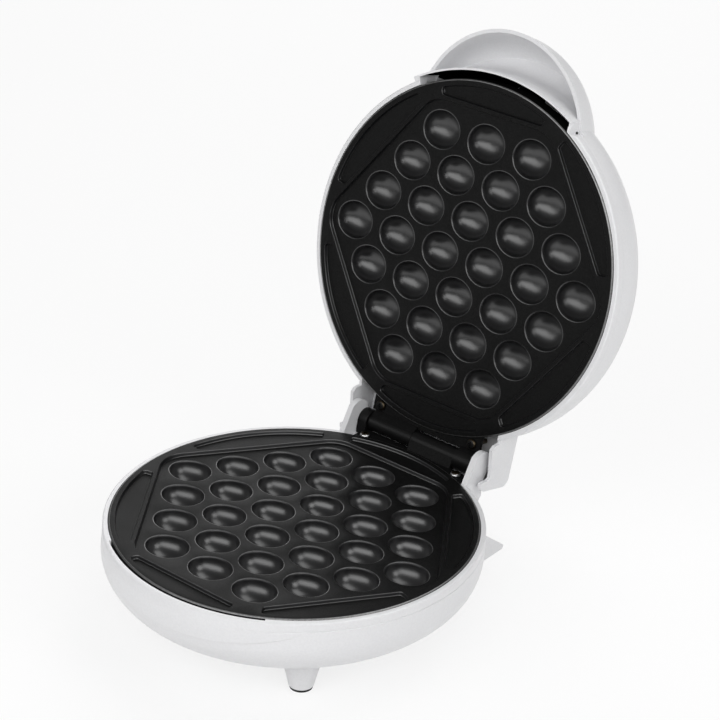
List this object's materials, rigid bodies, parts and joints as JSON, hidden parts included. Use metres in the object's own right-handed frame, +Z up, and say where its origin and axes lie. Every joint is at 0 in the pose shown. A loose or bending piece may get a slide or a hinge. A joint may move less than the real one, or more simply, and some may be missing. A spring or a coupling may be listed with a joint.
{
  "type": "bubble waffle maker",
  "caption": "Electric bubble waffle maker, standing open: white moulded base on short legs, hinged domed lid with a grip hood, and two black cast plates with rows of oval cells.",
  "frame": {"origin": "centre of the whole object's box, on the ground under the foot pads, with the lid open on its stop", "axes": "+Z up, +Y towards the hinge at the back, +X to the right as seen from the front"},
  "size_m": [0.199, 0.2918, 0.2801],
  "materials": {
    "white_housing": "white moulded plastic, satin gloss",
    "black_coating": "die-cast aluminium with a black non-stick coating",
    "black_hinge": "satin black paint",
    "steel": "plated steel",
    "aluminium_sheet": "plain pressed sheet",
    "black_rubber": "matte",
    "white_nylon": "natural nylon",
    "ceramic": "glazed cream body",
    "red_lens": "clear red",
    "green_lens": "clear green",
    "lamp_glass": "clear"
  },
  "bodies": {
    "base": {"base_housing": "white_housing", "base_plate": "black_coating", "base_hinge_bracket": "black_hinge", "hinge_pin": "steel", "base_hinge_screw_left": "steel", "base_hinge_screw_right": "steel", "base_plate_screw_rear": "steel", "base_plate_screw_left": "steel", "base_plate_screw_right": "steel", "base_heating_element": "steel", "base_heat_shield": "aluminium_sheet", "thermostat": "ceramic", "thermal_fuse": "ceramic", "fuse_clip": "aluminium_sheet", "terminal_block": "white_nylon", "cord_gland": "black_rubber", "front_left_foot_pad": "black_rubber", "front_right_foot_pad": "black_rubber", "rear_left_foot_pad": "black_rubber", "rear_right_foot_pad": "black_rubber"},
    "lid": {"lid_housing": "white_housing", "lid_plate": "black_coating", "lid_hinge_bracket": "black_hinge", "lid_hinge_screw_left": "steel", "lid_hinge_screw_right": "steel", "lid_shield_screw_rear": "steel", "lid_shield_screw_left": "steel", "lid_shield_screw_right": "steel", "lid_heating_element": "steel", "lid_heat_shield": "aluminium_sheet", "power_lamp_lens": "red_lens", "ready_lamp_lens": "green_lens", "power_lamp": "lamp_glass", "ready_lamp": "lamp_glass", "lamp_holder": "white_nylon"}
  },
  "joints": [
    {"name": "lid_hinge", "type": "hinge", "parent": "base", "child": "lid", "pos_m": [0, 0.06199, 0.0582], "axis": [1, 0, 0], "range_deg": [0, 103.8]}
  ]
}
